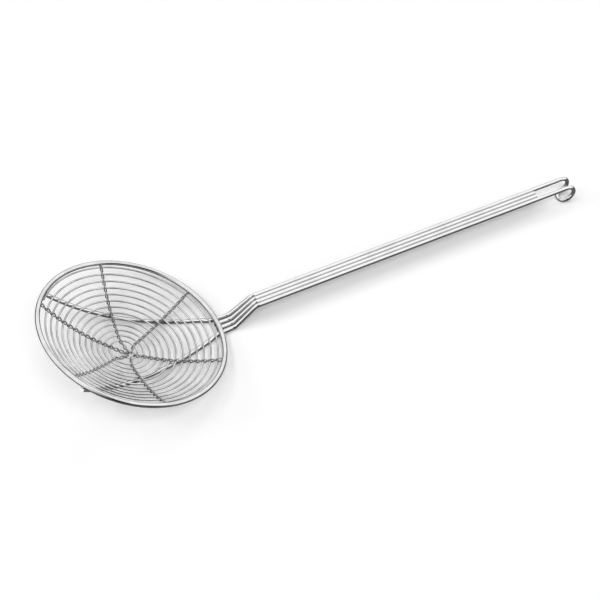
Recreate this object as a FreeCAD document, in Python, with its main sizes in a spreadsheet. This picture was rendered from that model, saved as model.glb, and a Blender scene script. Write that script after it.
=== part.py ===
# Spider skimmer: a shallow bowl of spiral wire on a long handle of four parallel wires.
# Lengths are in millimetres and angles in degrees.
# The handle points along +X and lies level, +Y is the skimmer's left and +Z is up.
# The part rests on the plane Z = 0, with the middle of its box over the origin.
import FreeCAD, Part
import math
import os
from FreeCAD import Placement, Rotation, Vector

doc = FreeCAD.newDocument("SpiderSkimmer")
sheet = doc.addObject("Spreadsheet::Sheet", "Sizes")
size_names = []


def size(alias, value, meaning):
    """Writes one driving dimension on the sheet and gives back its value."""
    size_names.append(alias)
    row = len(size_names)
    sheet.set("A%d" % row, meaning)
    sheet.set("B%d" % row, str(value))
    sheet.setAlias("B%d" % row, alias)
    return float(value)


# Driving dimensions of the bowl. Angles round the bowl are counted from the handle.
rim_radius = size("rim_radius", 97.5, "rim ring, centre to the middle of its wire")
rim_wire = size("rim_wire", 5.0, "rim ring, wire diameter")
dish_depth = size("dish_depth", 31.0, "bowl, depth of its middle below the rim")
bowl_tilt = size("bowl_tilt", 23.8, "bowl, angle between the rim and the handle")

spiral_wire = size("spiral_wire", 1.8, "spiral, wire diameter")
spiral_turns = size("spiral_turns", 12.45, "spiral, number of turns")
spiral_end_angle = size("spiral_end_angle", 145.0, "spiral, where its outer end lies")
spiral_start = size("spiral_start", 13.0, "spiral, from the middle of the bowl to its inner end")

eye_radius = size("eye_radius", 5.0, "eye ring, centre to the middle of its wire")
eye_wire = size("eye_wire", 1.8, "eye ring, wire diameter")
eye_ahead = size("eye_ahead", 4.5, "eye ring, how far it sits towards the handle")
eye_aside = size("eye_aside", 5.3, "eye ring, how far it sits to the right")

rib_wire = size("rib_wire", 1.4, "rib, wire diameter of each strand")
rib_count = size("rib_count", 6, "rib, number of ribs")
rib_first_angle = size("rib_first_angle", 30.0, "rib, where the first one lies")
twist_gap = size("twist_gap", 0.45, "rib, clear gap between its two strands")
seat_gap = size("seat_gap", 0.2, "clearance where one wire lies on another")

# Driving dimensions of the handle and of the runners that it ends in.
handle_wire = size("handle_wire", 4.4, "handle, wire diameter")
handle_gap = size("handle_gap", 0.3, "handle, clear gap between neighbouring wires")
handle_reach = size("handle_reach", 424.0, "handle, from under the rim to the end of the hook")
handle_rise = size("handle_rise", 19.0, "handle, height of its long run above its flat")
neck_flat = size("neck_flat", 16.0, "neck, length of the flat beside the rim")
neck_slope = size("neck_slope", 26.0, "neck, length of the sloping part along the handle")
neck_bend = size("neck_bend", 10.0, "neck, bend radius to the middle of the wire")
neck_flare = size("neck_flare", 2.55, "neck, how far each outer wire spreads at the rim")
inner_stop = size("inner_stop", 47.0, "inner handle wires, how far short of the hook they stop")
hook_sweep = size("hook_sweep", 165.0, "hook, angle that it curls through")
left_runner_angle = size("left_runner_angle", 138.5, "left runner, where it meets the far rim")
left_runner_bow = size("left_runner_bow", 5.5, "left runner, outward bow at its middle")
right_runner_angle = size("right_runner_angle", 140.5, "right runner, where it meets the far rim")
right_runner_bow = size("right_runner_bow", -2.0, "right runner, outward bow at its middle")
runner_stub = size("runner_stub", 0.5, "runners, how far inside the middle of the rim they end")
runner_spans = size("runner_spans", 10, "runners, number of spans between their points")
doc.recompute()

# Sizes that follow from the driving dimensions.
ahead = Vector(1, 0, 0)
left = Vector(0, 1, 0)
up = Vector(0, 0, 1)

rim_slope = math.atan(2 * dish_depth / rim_radius)
spiral_outer = rim_radius - (rim_wire / 2 + seat_gap + spiral_wire / 2) * math.cos(rim_slope)
spiral_pitch = (spiral_outer - spiral_start) / spiral_turns
eye_middle = ahead * eye_ahead - left * eye_aside

over_eye = eye_wire / 2 + seat_gap + rib_wire / 2
over_coil = spiral_wire / 2 + seat_gap + rib_wire / 2
beside_twist = (rib_wire + twist_gap) / 2
short_span = 0.75 * spiral_pitch

under_rim = rim_wire / 2 + seat_gap + handle_wire / 2
under_ribs = over_coil + rib_wire / 2 + seat_gap + handle_wire / 2
runner_drop = max(under_rim, under_ribs)

runner_shapes = {
    1: (left_runner_angle, left_runner_bow),
    -1: (right_runner_angle, right_runner_bow),
}
outer_side = 1.5 * (handle_wire + handle_gap)
inner_side = 0.5 * (handle_wire + handle_gap)
flat_height = -under_rim
long_height = flat_height + handle_rise


# The bowl is a shallow dish whose depth falls off with the square of the radius.
# Its own frame has the middle of the rim ring at the origin and the rim in the XY plane.
# A place is a point in the plane of the rim, and the dish is found straight below it.
def turned(angle):
    """Direction in the plane of the rim at an angle from the handle."""
    return Vector(math.cos(math.radians(angle)), math.sin(math.radians(angle)), 0)


def rise_along(place, way):
    """Rise of the dish for each unit along a direction in the plane of the rim."""
    return 2 * dish_depth * place.dot(way) / rim_radius ** 2


def along_dish(place, way):
    """Direction along the dish, seen from above as way."""
    return (way + up * rise_along(place, way)).normalize()


def dish_normal(place):
    """Upward normal of the dish."""
    return (up - ahead * rise_along(place, ahead) - left * rise_along(place, left)).normalize()


def on_dish(place, lift=0.0):
    """Point on the dish, moved along its normal by lift."""
    depth = dish_depth * (1 - (place.Length / rim_radius) ** 2)
    return place - up * depth + dish_normal(place) * lift


# Every wire's route is straight lines and arcs that meet tangent to each other.
def arc_edge(start, heading, end):
    """Arc that leaves start along heading and reaches end, or a line if that is straight."""
    chord = end - start
    along = Vector(chord).normalize()
    if heading.cross(along).Length < 1e-6:
        return Part.makeLine(start, end)
    halfway = (heading + along).normalize()
    middle = start + halfway * (chord.Length / 2 / halfway.dot(along))
    return Part.Arc(start, middle, end).toShape()


def biarc(start, heading, end, arriving):
    """Two arcs from start to end, tangent to each other and to the headings at both ends."""
    chord = end - start
    both = chord.dot(heading + arriving)
    turn = 1 - heading.dot(arriving)
    leg = chord.dot(chord) / (both + math.sqrt(both ** 2 + 2 * turn * chord.dot(chord)))
    from_start = start + heading * leg
    from_end = end - arriving * leg
    joint = (from_start + from_end) * 0.5
    joint_heading = (from_end - from_start).normalize()
    return [arc_edge(start, heading, joint), arc_edge(joint, joint_heading, end)]


def biarc_chain(points, headings):
    """Tangent arcs through a row of points."""
    edges = []
    for i in range(len(points) - 1):
        edges += biarc(points[i], headings[i], points[i + 1], headings[i + 1])
    return edges


def headings_between(first, points, last):
    """Headings at a row of points: each one between is parallel to its neighbours' chord."""
    between = [(after - before).normalize() for before, after in zip(points, points[2:])]
    return [first] + between + [last]


def bent_run(corners, radius):
    """Straight runs between the corners, with a bend of the same radius at each."""
    edges = []
    start = corners[0]
    for before, corner, after in zip(corners, corners[1:], corners[2:]):
        arriving = (corner - before).normalize()
        leaving = (after - corner).normalize()
        inset = radius * math.tan(arriving.getAngle(leaving) / 2)
        entry = corner - arriving * inset
        edges.append(Part.makeLine(start, entry))
        start = corner + leaving * inset
        edges.append(arc_edge(entry, arriving, start))
    edges.append(Part.makeLine(start, corners[-1]))
    return edges


# Routes in the bowl's frame.
def spiral_route():
    """About quarter turns from the inner end, beside the eye, to the outer end at the rim."""
    points = []
    headings = []
    spans = round(4 * spiral_turns)
    for i in range(spans + 1):
        turns_left = spiral_turns * (1 - i / spans)
        outward = turned(spiral_end_angle - 360 * turns_left)
        place = outward * (spiral_outer - spiral_pitch * turns_left)
        climb = (outward + up * rise_along(place, outward)) * spiral_pitch
        points.append(on_dish(place))
        headings.append((up.cross(place) * (2 * math.pi) + climb).normalize())
    return biarc_chain(points, headings)


def spiral_passes(angle):
    """Radii at which the spiral crosses a line outward from the middle."""
    outermost = spiral_outer - spiral_pitch * ((spiral_end_angle - angle) % 360) / 360
    count = int((outermost - spiral_start) / spiral_pitch) + 1
    return [outermost - spiral_pitch * i for i in reversed(range(count))]


def rib_stations(angle):
    """Places where a rib's strands lie one above the other: the eye, the spiral and the rim."""
    reach = math.sqrt((rim_wire / 2 + seat_gap) ** 2 - (over_coil - rib_wire / 2) ** 2)
    rim_end = rim_radius - reach * math.cos(rim_slope)
    crossings = [turned(angle) * radius for radius in spiral_passes(angle) + [rim_end]]
    on_eye = eye_middle + (crossings[0] - eye_middle).normalize() * eye_radius
    first_span = crossings[0] - on_eye
    twists = max(1, round(first_span.Length / spiral_pitch))
    between = [on_eye + first_span * (i / twists) for i in range(1, twists)]
    return [on_eye] + between + crossings


def strand_points(stations, side):
    """Points of one strand from the eye to the rim, crossing the other between stations."""
    points = [on_dish(stations[0], side * over_eye)]
    for inner, outer in zip(stations, stations[1:]):
        if inner.distanceToPoint(outer) > short_span:
            aside = up.cross(outer - inner).normalize() * (side * beside_twist)
            points.append(on_dish((inner + outer) * 0.5) + aside)
            side = -side
        points.append(on_dish(outer, side * over_coil))
    return points


def rib_route(angle):
    """One wire folded round the eye ring, with its two halves twisted out to the rim."""
    stations = rib_stations(angle)
    on_eye = stations[0]
    at_eye = along_dish(on_eye, (on_eye - eye_middle).normalize())
    at_rim = along_dish(turned(angle) * rim_radius, turned(angle))
    first = strand_points(stations, 1)
    second = strand_points(stations, -1)
    inward = headings_between(at_rim * -1, first[::-1], at_eye * -1)
    outward = headings_between(at_eye, second, at_rim)
    fold = on_dish(on_eye) - at_eye * over_eye
    folded = Part.Arc(first[0], fold, second[0]).toShape()
    return biarc_chain(first[::-1], inward) + [folded] + biarc_chain(second, outward)


def runner_points(side):
    """Points of a runner from the far rim, under the ribs, nearly to the neck."""
    far_angle, bow = runner_shapes[side]
    far = turned(side * far_angle) * (rim_radius - runner_stub)
    near = ahead * rim_radius + left * (side * (outer_side + neck_flare))
    bowed = up.cross(near - far).normalize() * (4 * side * bow)
    points = []
    for i in range(int(runner_spans)):
        share = i / runner_spans
        place = far + (near - far) * share + bowed * (share * (1 - share))
        points.append(on_dish(place, -runner_drop))
    return points


# The handle's frame has its origin at the middle of the rim's wire where the handle meets it.
tilt = math.radians(bowl_tilt)
bowl_middle = up * (rim_radius * math.sin(tilt)) - ahead * (rim_radius * math.cos(tilt))
bowl_on_handle = Placement(bowl_middle, Rotation(left, bowl_tilt))


def leg_corners(rim_side, long_side, end):
    """Corners of one handle wire from under the rim, up the neck and along the long run."""
    flat_share = neck_flat / (neck_flat + math.hypot(neck_slope, handle_rise))
    first_side = rim_side + (long_side - rim_side) * flat_share
    return [
        Vector(0, rim_side, flat_height),
        Vector(neck_flat, first_side, flat_height),
        Vector(neck_flat + neck_slope, long_side, long_height),
        Vector(end, long_side, long_height),
    ]


def runner_route(side):
    """A runner, from its end at the far rim to the neck. The left one is on side 1."""
    corners = leg_corners(side * (outer_side + neck_flare), side * outer_side, handle_reach)
    into_neck = (corners[1] - corners[0]).normalize()
    points = [bowl_on_handle.multVec(point) for point in runner_points(side)] + [corners[0]]
    from_rim = (points[1] - points[0]).normalize()
    return biarc_chain(points, headings_between(from_rim, points, into_neck))


# The hook's closed end comes down as far as the lowest part of the runners, so that the
# skimmer lies level. It runs on from the curl in a half circle as wide as the outer wires.
runner_edges = runner_route(1) + runner_route(-1)
runner_heights = [point.z for edge in runner_edges for point in edge.discretize(9)]
rest_height = min([flat_height] + runner_heights)
sweep_end = math.radians(hook_sweep)
curl_drop = long_height - rest_height - outer_side * math.sin(sweep_end)
hook_radius = curl_drop / (1 - math.cos(sweep_end))
hook_middle = Vector(handle_reach - handle_wire / 2 - hook_radius, 0, long_height - hook_radius)


def on_hook(angle, side):
    """Point on the hook, at an angle round it from its top."""
    round_hook = Vector(math.sin(math.radians(angle)), 0, math.cos(math.radians(angle)))
    return hook_middle + round_hook * hook_radius + left * side


def outer_half(side):
    """Half of the outer handle wire: its runner, its leg and its side of the hook."""
    corners = leg_corners(side * (outer_side + neck_flare), side * outer_side, hook_middle.x)
    first_curl = [on_hook(hook_sweep * share, side * outer_side) for share in (0, 0.25, 0.5)]
    second_curl = [on_hook(hook_sweep * share, side * outer_side) for share in (0.5, 0.75, 1)]
    curl = [Part.Arc(*first_curl).toShape(), Part.Arc(*second_curl).toShape()]
    return runner_route(side) + bent_run(corners, neck_bend) + curl


def outer_route():
    """The outer handle wire: its left half, the closed end of the hook and its right half."""
    onward = Vector(math.cos(sweep_end), 0, -math.sin(sweep_end))
    middle = on_hook(hook_sweep, 0) + onward * outer_side
    closed_end = Part.Arc(on_hook(hook_sweep, outer_side), middle, on_hook(hook_sweep, -outer_side))
    return outer_half(1) + [closed_end.toShape()] + outer_half(-1)[::-1]


def inner_route(side):
    """One inner handle wire, from the inner edge of the rim to its end on the long run."""
    rim_side = (outer_side + neck_flare) / 3
    corners = leg_corners(side * rim_side, side * inner_side, handle_reach - inner_stop)
    backward = (corners[0] - corners[1]).normalize()
    corners[0] = corners[0] + backward * (rim_wire / 2)
    return bent_run(corners, neck_bend)


# The pieces.
pieces = []


def add_wire(label, edges, diameter_name, place):
    """One length of round wire: a circle swept along its route."""
    route = doc.addObject("Part::Feature", label + "_route")
    route.Shape = Part.Wire(edges)
    start = edges[0].Vertexes[0].Point
    heading = edges[0].tangentAt(edges[0].FirstParameter)
    profile = doc.addObject("Part::Circle", label + "_profile")
    profile.setExpression("Radius", "Sizes." + diameter_name + " / 2 * 1 mm")
    profile.Placement = Placement(start, Rotation(up, heading))
    sweep = doc.addObject("Part::Sweep", label)
    sweep.Label = label
    sweep.Sections = [profile]
    sweep.Spine = (route, ["Edge%d" % (i + 1) for i in range(len(edges))])
    sweep.Solid = True
    sweep.Frenet = False
    sweep.Placement = place
    pieces.append(sweep)


def add_ring(label, radius_name, diameter_name, place):
    """A closed ring of round wire."""
    ring = doc.addObject("Part::Torus", label)
    ring.Label = label
    ring.setExpression("Radius1", "Sizes." + radius_name + " * 1 mm")
    ring.setExpression("Radius2", "Sizes." + diameter_name + " / 2 * 1 mm")
    ring.Placement = place
    pieces.append(ring)


far_rim = -2 * rim_radius * math.cos(tilt) - rim_wire / 2
box_middle = (far_rim + handle_reach) / 2
handle_place = Placement(Vector(-box_middle, 0, handle_wire / 2 - rest_height), Rotation())
bowl_place = handle_place.multiply(bowl_on_handle)
eye_lift = dish_depth * (eye_radius / rim_radius) ** 2
eye_on_dish = Placement(on_dish(eye_middle, eye_lift), Rotation(up, dish_normal(eye_middle)))
eye_place = bowl_place.multiply(eye_on_dish)

add_ring("rim_ring", "rim_radius", "rim_wire", bowl_place)
add_ring("eye_ring", "eye_radius", "eye_wire", eye_place)
add_wire("spiral_wire", spiral_route(), "spiral_wire", bowl_place)
for rib in range(int(rib_count)):
    rib_angle = rib_first_angle + 360 / rib_count * rib
    add_wire("rib_%d" % (rib + 1), rib_route(rib_angle), "rib_wire", bowl_place)
add_wire("handle_outer_wire", outer_route(), "handle_wire", handle_place)
add_wire("handle_inner_wire_left", inner_route(1), "handle_wire", handle_place)
add_wire("handle_inner_wire_right", inner_route(-1), "handle_wire", handle_place)
doc.recompute()


# Checks: everything built, each piece one sound solid, and no wire touching itself.
def least_self_gap(route, diameter, spacing):
    """Least clear gap between stretches of one wire that lie apart along it."""
    points = route.discretize(Distance=spacing)
    apart = int(math.pi * diameter / spacing) + 2
    least = float("inf")
    for i, point in enumerate(points):
        for other in points[i + apart:]:
            least = min(least, point.distanceToPoint(other))
    return least - diameter


for thing in doc.Objects:
    if "Invalid" in thing.State or "Error" in thing.State:
        raise RuntimeError(thing.Label + " did not build")
for piece in pieces:
    shape = piece.Shape
    if shape.isNull() or not shape.isValid() or len(shape.Solids) != 1:
        raise RuntimeError(piece.Label + " is not one sound solid")

spiral = doc.getObject("spiral_wire_route").Shape
print("spiral_wire: least gap to itself %.2f mm" % least_self_gap(spiral, spiral_wire, 3.0))
for rib in range(int(rib_count)):
    strand = doc.getObject("rib_%d_route" % (rib + 1)).Shape
    print("rib_%d: least gap to itself %.2f mm" % (rib + 1, least_self_gap(strand, rib_wire, 0.7)))

os.makedirs("parts", exist_ok=True)
for piece in pieces:
    piece.Shape.exportStep("parts/%s.step" % piece.Label)
    print("%s: volume %.1f mm3" % (piece.Label, piece.Shape.Volume))
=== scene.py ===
import math

import bpy
import numpy as np
from mathutils import Euler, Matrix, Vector


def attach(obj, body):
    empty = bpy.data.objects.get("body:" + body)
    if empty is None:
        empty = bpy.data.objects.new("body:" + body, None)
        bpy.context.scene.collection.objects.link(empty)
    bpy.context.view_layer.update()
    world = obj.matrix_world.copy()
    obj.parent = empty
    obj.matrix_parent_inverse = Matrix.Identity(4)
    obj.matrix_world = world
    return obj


# A spider skimmer of polished steel wire on a white table. Metres, +X along the handle, +Z up.

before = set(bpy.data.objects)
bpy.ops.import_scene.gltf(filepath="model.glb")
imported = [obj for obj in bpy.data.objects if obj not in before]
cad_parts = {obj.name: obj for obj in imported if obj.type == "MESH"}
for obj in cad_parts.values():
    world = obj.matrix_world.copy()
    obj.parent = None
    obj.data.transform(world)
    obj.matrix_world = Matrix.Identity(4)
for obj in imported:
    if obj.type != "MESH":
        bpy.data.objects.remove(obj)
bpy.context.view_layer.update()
print("loaded", len(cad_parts), "wires")

# the bowl's own frame has its middle at the middle of the rim, and +X towards the handle
bowl = {
    "centre": (-0.21075, 0.0, 0.04822),
    "tilt": 23.8,                        # degrees, down towards the handle
    "rimRadius": 0.0975,
    "rimWire": 0.005,
    "depth": 0.031,
    "ribAngles": (30, 90, 150, 210, 270, 330),
    "coilEnd": 145,                      # degrees, where the spiral meets the rim
}

handle = {
    "rimSides": (-0.0096, -0.0032, 0.0032, 0.0096),  # where the wires pass under the near rim
    "runnerAngles": (138.5, -140.5),                 # where the runners end under the far rim
}


def toWorld(points):
    # turns points of the bowl's frame down by its tilt and moves them to its centre
    tilt = math.radians(bowl["tilt"])
    x, y, z = np.moveaxis(np.asarray(points, float), -1, 0)
    turned = [x * math.cos(tilt) + z * math.sin(tilt), y, z * math.cos(tilt) - x * math.sin(tilt)]
    return np.stack(turned, -1) + np.array(bowl["centre"])


def dishPoint(radius, angle, lift=0.0):
    # the dish is depth * ((radius / rimRadius)^2 - 1) high; lift moves the point along its normal
    radius, angle = np.broadcast_arrays(radius, angle)
    slope = 2 * bowl["depth"] * radius / bowl["rimRadius"] ** 2
    size = np.sqrt(1 + slope ** 2)
    outward = radius - lift * slope / size
    height = bowl["depth"] * ((radius / bowl["rimRadius"]) ** 2 - 1) + lift / size
    return np.stack([outward * np.cos(angle), outward * np.sin(angle), height], -1)


cameraSettings = {
    "location": (-0.38188, -0.89203, 1.27141),
    "turn": (36.898, 1.951, -24.252),  # degrees
    "lens": 90,
}

cameraData = bpy.data.cameras.new("camera")
cameraData.lens = cameraSettings["lens"]
camera = bpy.data.objects.new("camera", cameraData)
camera.location = cameraSettings["location"]
camera.rotation_euler = Euler([math.radians(turn) for turn in cameraSettings["turn"]])
bpy.context.scene.collection.objects.link(camera)
bpy.context.scene.camera = camera
print("camera placed")


class Socket:
    # a node's output that can stand in a formula
    def __init__(self, shader, output):
        self.shader = shader
        self.output = output

    def maths(self, operation, *values):
        return self.shader.add("ShaderNodeMath", {"operation": operation}, dict(enumerate(values)))

    def __add__(self, other):
        return self.maths("ADD", self, other)

    def __radd__(self, other):
        return self.maths("ADD", other, self)

    def __rsub__(self, other):
        return self.maths("SUBTRACT", other, self)

    def __mul__(self, other):
        return self.maths("MULTIPLY", self, other)

    def __rmul__(self, other):
        return self.maths("MULTIPLY", other, self)

    def __truediv__(self, other):
        return self.maths("DIVIDE", self, other)

    def __pow__(self, other):
        return self.maths("POWER", self, other)


class Shader:
    # a node tree, and the ways in which nodes are added to it
    def __init__(self, tree):
        self.tree = tree
        tree.nodes.clear()

    def add(self, kind, settings, inputs, output=0):
        # settings first, then the inputs: a number, a colour or another node's socket
        node = self.tree.nodes.new(kind)
        for name, value in settings.items():
            setattr(node, name, value)
        for name, value in inputs.items():
            if isinstance(value, Socket):
                self.tree.links.new(value.output, node.inputs[name])
            else:
                node.inputs[name].default_value = value
        return Socket(self, node.outputs[output])

    def show(self, kind, surface):
        self.tree.links.new(surface.output, self.tree.nodes.new(kind).inputs["Surface"])

    def mixColour(self, share, first, second):
        return self.add("ShaderNodeMix", {"data_type": "RGBA"}, {0: share, 6: first, 7: second}, 2)

    def between(self, value, low, high):
        # 0 below low, 1 above high, smooth between them
        return self.add("ShaderNodeMapRange", {"interpolation_type": "SMOOTHSTEP"}, {
            "Value": value, "From Min": low, "From Max": high,
        })


def newMaterial(name):
    material = bpy.data.materials.new(name)
    material.use_nodes = True
    return material, Shader(material.node_tree)


# the patches' two shades, the roughness, how fine the drawn lines are along X, Y and Z, and how deep
steelLooks = {
    "rimSteel": {
        "colour": 0.70, "dark": 0.52, "rough": 0.14, "grain": (900, 900, 900), "bump": 0.05,
    },
    "coilSteel": {
        "colour": 0.70, "dark": 0.36, "rough": 0.16, "grain": (1400, 1400, 1400), "bump": 0.05,
    },
    # the ribs' strands are the same steel painted darker: painted shade, standing in for the shade
    # in their twists
    "shadedStrandSteel": {
        "colour": 0.42, "dark": 0.28, "rough": 0.22, "grain": (1800, 1800, 1800), "bump": 0.08,
    },
    "handleSteel": {
        "colour": 0.75, "dark": 0.66, "rough": 0.13, "grain": (45, 2600, 2600), "bump": 0.05,
    },
    "weldSteel": {
        "colour": 0.52, "dark": 0.34, "rough": 0.30, "grain": (1500, 1500, 1500), "bump": 0.30,
    },
}

wear = {
    "patches": 60,              # per metre
    "patchDetail": 3,
    "patchEnds": (0.35, 0.70),  # the noise at which a patch starts, and at which it is full
    "patchShare": 0.6,          # of the change in shade, the rest comes from the drawn lines
    "lineDetail": 2,
    "lineHeight": 0.0002,
    "smooth": 0.75,             # roughness where there is no patch and no line
    "rougher": 0.3,             # what each of them adds
    "blue": 1.01,               # how much more blue there is than red
}


def steel(name):
    # polished wire: broad patches change its shade, and fine drawn lines its sheen
    look = steelLooks[name]
    material, shader = newMaterial(name)
    place = shader.add("ShaderNodeTexCoord", {}, {}, "Object")
    patches = shader.add("ShaderNodeTexNoise", {}, {
        "Vector": place, "Scale": wear["patches"], "Detail": wear["patchDetail"],
    })
    stretched = shader.add("ShaderNodeMapping", {}, {"Vector": place, "Scale": look["grain"]})
    lines = shader.add("ShaderNodeTexNoise", {}, {
        "Vector": stretched, "Scale": 1, "Detail": wear["lineDetail"],
    })
    worn = shader.between(patches, *wear["patchEnds"])
    bright = [look["colour"]] * 2 + [look["colour"] * wear["blue"], 1]
    dark = [look["dark"]] * 2 + [look["dark"] * wear["blue"], 1]
    share = wear["patchShare"]
    colour = shader.mixColour(worn * share + lines * (1 - share), bright, dark)
    rough = look["rough"] * (wear["smooth"] + wear["rougher"] * worn + wear["rougher"] * lines)
    ripple = shader.add("ShaderNodeBump", {}, {
        "Strength": look["bump"], "Distance": wear["lineHeight"], "Height": lines,
    })
    surface = shader.add("ShaderNodeBsdfPrincipled", {}, {
        "Base Color": colour, "Metallic": 1.0, "Roughness": rough, "Normal": ripple,
    })
    shader.show("ShaderNodeOutputMaterial", surface)
    return material


steels = {name: steel(name) for name in steelLooks}
steelOf = {"rim_ring": "rimSteel", "spiral_wire": "coilSteel", "eye_ring": "coilSteel"}
for name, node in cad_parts.items():
    kind = "handleSteel" if name.startswith("handle") else steelOf.get(name, "shadedStrandSteel")
    node.data.materials.clear()
    node.data.materials.append(steels[kind])
print("steel on", len(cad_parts), "wires")


beads = {
    "rings": 9,
    "sides": 18,
    "ripple": 0.10,  # how uneven a bead is, as a share of its radius
    "ripples": 5,    # how often that comes round
    "drop": 0.0001,  # how far below the rim's underside the middle of a bead lies, under the rim
    "inset": 0.9,    # how far in from the middle of its wire, in that wire's radii, inside the rim

    # half sizes along and across its length, and upwards
    "neck": (0.0018, 0.0020, 0.0010),
    "rib": (0.0017, 0.0009, 0.0021),
    "runner": (0.0022, 0.0016, 0.0011),
    "step": 0.01,    # taken up the dish to find the way out of it
}


def beadMesh(name, centres, along, across, halves, seed):
    # each bead is a flattened ball: centre + along * a cos(v) + sin(v) * (across * b cos(u)
    # + up * c sin(u)), where v runs from tip to tip and a small wave in v makes it uneven
    centres, along, across = (np.asarray(part, float) for part in (centres, along, across))
    count, rings, sides = len(centres), beads["rings"], beads["sides"]
    radii = np.tile(halves, (count, 1))
    along = along / np.linalg.norm(along, axis=1, keepdims=True)
    upward = np.cross(along, across)
    upward /= np.linalg.norm(upward, axis=1, keepdims=True)
    across = np.cross(upward, along)
    v = np.pi * np.arange(1, rings + 1)[:, None] / (rings + 1)
    u = 2 * np.pi * np.arange(sides)[None, :] / sides
    phase = np.random.default_rng(seed).uniform(0, 2 * np.pi, (count, 1, 1))
    wave = 1 + beads["ripple"] * np.sin(beads["ripples"] * v + 2 * np.sin(u) + phase)
    parts = [np.cos(v) + 0 * u, np.sin(v) * np.cos(u), np.sin(v) * np.sin(u)]
    rounds = sum(
        (radii[:, i] * axis.T).T[:, None, None, :] * (part * wave)[..., None]
        for i, (axis, part) in enumerate(zip((along, across, upward), parts))
    )
    tips = np.stack([along, -along], 1) * radii[:, :1, None]
    points = np.concatenate([rounds.reshape(count, -1, 3), tips], 1) + centres[:, None, :]
    ring, side = np.meshgrid(np.arange(rings - 1), np.arange(sides), indexing="ij")
    after = (side + 1) % sides
    start, below = ring * sides, (ring + 1) * sides
    quads = np.stack([start + side, below + side, below + after, start + after], -1).reshape(-1, 4)
    edge, nextEdge = np.arange(sides), (np.arange(sides) + 1) % sides
    last = (rings - 1) * sides
    fans = [
        np.stack([edge, nextEdge, np.full(sides, rings * sides)], -1),
        np.stack([last + nextEdge, last + edge, np.full(sides, rings * sides + 1)], -1),
    ]
    shift = (np.arange(count) * (rings * sides + 2))[:, None, None]
    faces = (quads + shift).reshape(-1, 4).tolist()
    for fan in fans:
        faces += (fan + shift).reshape(-1, 3).tolist()
    mesh = bpy.data.meshes.new(name)
    mesh.from_pydata(points.reshape(-1, 3).tolist(), [], faces)
    mesh.polygons.foreach_set("use_smooth", np.ones(len(mesh.polygons), bool))
    mesh.update()
    piece = bpy.data.objects.new(name, mesh)
    bpy.context.scene.collection.objects.link(piece)
    mesh.materials.append(steels["weldSteel"])
    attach(piece, "root")
    print(name, count, "beads")


def roundBowl(angles):
    # unit steps along the rim at these angles
    steps = np.stack([-np.sin(angles), np.cos(angles), 0 * angles], -1)
    return toWorld(steps) - np.array(bowl["centre"])


def outOfBowl(radius, angles, lift=0.0):
    # steps up the dish, towards the rim
    inner = dishPoint(radius - beads["step"], angles, lift)
    return toWorld(dishPoint(radius, angles, lift)) - toWorld(inner)


underside = bowl["rimWire"] / 2 + beads["drop"]

# the handle's wires under the near rim
sides = np.array(handle["rimSides"])
count = len(sides)
rimTouch = np.sqrt(bowl["rimRadius"] ** 2 - sides ** 2)
underRim = toWorld(np.stack([rimTouch, sides, 0 * sides], -1)) - np.array([0, 0, underside])
beadMesh("neck_welds", underRim, [[0, 1, 0]] * count, [[1, 0, 0]] * count, beads["neck"], 1)

# the ends of the ribs' strands and of the spiral against the inside of the rim
angles = np.radians(bowl["ribAngles"] + (bowl["coilEnd"],))
inside = bowl["rimRadius"] - beads["inset"] * bowl["rimWire"] / 2
touch = toWorld(dishPoint(inside, angles))
beadMesh("rib_welds", touch, roundBowl(angles), outOfBowl(inside, angles), beads["rib"], 2)

# the runners under the far rim
angles = np.radians(handle["runnerAngles"])
touch = toWorld(dishPoint(bowl["rimRadius"], angles, -underside))
outward = outOfBowl(bowl["rimRadius"], angles, -underside)
beadMesh("runner_welds", touch, roundBowl(angles), outward, beads["runner"], 3)


white = [1, 1, 1, 1]

table = {
    "size": 14.0,
    "colour": 0.95,
    "glow": 0.06,      # what the camera sees of the table besides its lit colour
    "mirrored": 0.15,  # the table's colour as the steel mirrors it
}

corners = np.array([[-1, -1, 0], [1, -1, 0], [1, 1, 0], [-1, 1, 0]]) * table["size"] / 2
tableMesh = bpy.data.meshes.new("table")
tableMesh.from_pydata(corners.tolist(), [], [[0, 1, 2, 3]])
tableTop = bpy.data.objects.new("table", tableMesh)
bpy.context.scene.collection.objects.link(tableTop)
tableMaterial, shader = newMaterial("tableWhite")
seen = shader.add("ShaderNodeLightPath", {}, {}, "Is Camera Ray")
reflected = shader.add("ShaderNodeLightPath", {}, {}, "Is Glossy Ray")
paint = shader.add("ShaderNodeBsdfDiffuse", {}, {"Color": [table["colour"]] * 3 + [1]})
# painted reflection: the steel mirrors this darker table, not the white one the camera sees, which
# gives the wires dark lower edges
paintedMirrorDark = shader.add("ShaderNodeBsdfDiffuse", {}, {"Color": [table["mirrored"]] * 3 + [1]})
glow = shader.add("ShaderNodeEmission", {}, {"Color": white, "Strength": seen * table["glow"]})
lit = shader.add("ShaderNodeMixShader", {}, {0: reflected, 1: paint, 2: paintedMirrorDark})
shader.show("ShaderNodeOutputMaterial", shader.add("ShaderNodeAddShader", {}, {0: lit, 1: glow}))
tableMesh.materials.append(tableMaterial)
print("table laid")


studio = {
    "ambient": 0.02,    # what the room alone lights the table with
    "walls": 1.30,      # the lit sides of the room, as the steel mirrors them
    "lampWidth": 24.0,  # degrees across
}

# dark parts of the walls, as the steel mirrors them: degrees from +X, degrees to each side,
# degrees above the table, softness
shades = [(262, 42, 34, 10), (264, 15, 84, 4), (122, 22, 12, 5)]

# degrees from +X, degrees above the table, share of the table's light
lamps = [
    (0, 90, 0.080), (45, 60, 0.079), (135, 60, 0.056), (157, 32, 0.089), (180, 60, 0.158),
    (202, 32, 0.018), (225, 60, 0.119), (247, 32, 0.022), (270, 60, 0.348), (292, 32, 0.015),
]

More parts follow.
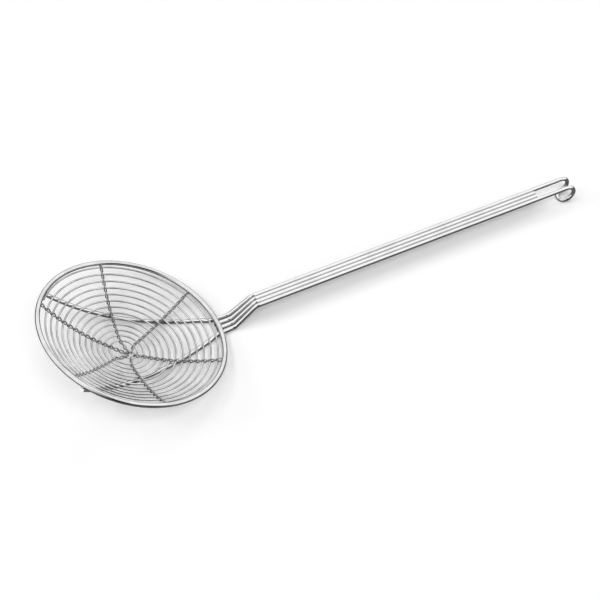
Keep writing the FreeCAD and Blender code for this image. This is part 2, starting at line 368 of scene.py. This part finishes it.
world = bpy.data.worlds.new("studio")
bpy.context.scene.world = world
world.use_nodes = True
shader = Shader(world.node_tree)
way = shader.add("ShaderNodeTexCoord", {}, {}, "Generated")
rise = shader.add("ShaderNodeSeparateXYZ", {}, {0: way}, 2)
level = (1.0001 - rise * rise) ** 0.5  # a little over 1, so never the root of less than 0
strength = studio["walls"]
for turn, width, top, soft in shades:
    towards = (math.cos(math.radians(turn)), math.sin(math.radians(turn)), 0)
    facing = shader.add("ShaderNodeVectorMath", {"operation": "DOT_PRODUCT"}, {
        0: way, 1: towards,
    }, "Value")
    ends = [math.cos(math.radians(width + soft)), math.cos(math.radians(width - soft))]
    tops = [math.sin(math.radians(top - soft)), math.sin(math.radians(top + soft))]
    unlit = shader.between(facing / level, *ends) * (1 - shader.between(rise, *tops))
    strength = strength * (1 - unlit)
seen = shader.add("ShaderNodeLightPath", {}, {}, "Is Camera Ray")
reflected = shader.add("ShaderNodeLightPath", {}, {}, "Is Glossy Ray")
ambient = shader.add("ShaderNodeBackground", {}, {"Color": white, "Strength": studio["ambient"]})
walls = shader.add("ShaderNodeBackground", {}, {"Color": white, "Strength": strength})
backdrop = shader.add("ShaderNodeBackground", {}, {"Color": white, "Strength": 1.0})
inSteel = shader.add("ShaderNodeMixShader", {}, {0: reflected, 1: ambient, 2: walls})
whole = shader.add("ShaderNodeMixShader", {}, {0: seen, 1: inSteel, 2: backdrop})
shader.show("ShaderNodeOutputWorld", whole)

for turn, height, share in lamps:
    # a share of 1 from above lights white paper to just white, which is pi watts a square metre
    turn, height = math.radians(turn), math.radians(height)
    lampData = bpy.data.lights.new("lamp", "SUN")
    lampData.angle = math.radians(studio["lampWidth"])
    lampData.energy = math.pi * share / math.sin(height)
    lamp = bpy.data.objects.new("lamp", lampData)
    reach = math.cos(height)
    towards = Vector((math.cos(turn) * reach, math.sin(turn) * reach, math.sin(height)))
    lamp.rotation_euler = towards.to_track_quat("Z", "Y").to_euler()
    lamp.visible_glossy = False
    bpy.context.scene.collection.objects.link(lamp)

bpy.context.scene.view_settings.view_transform = "Standard"
print("lit")
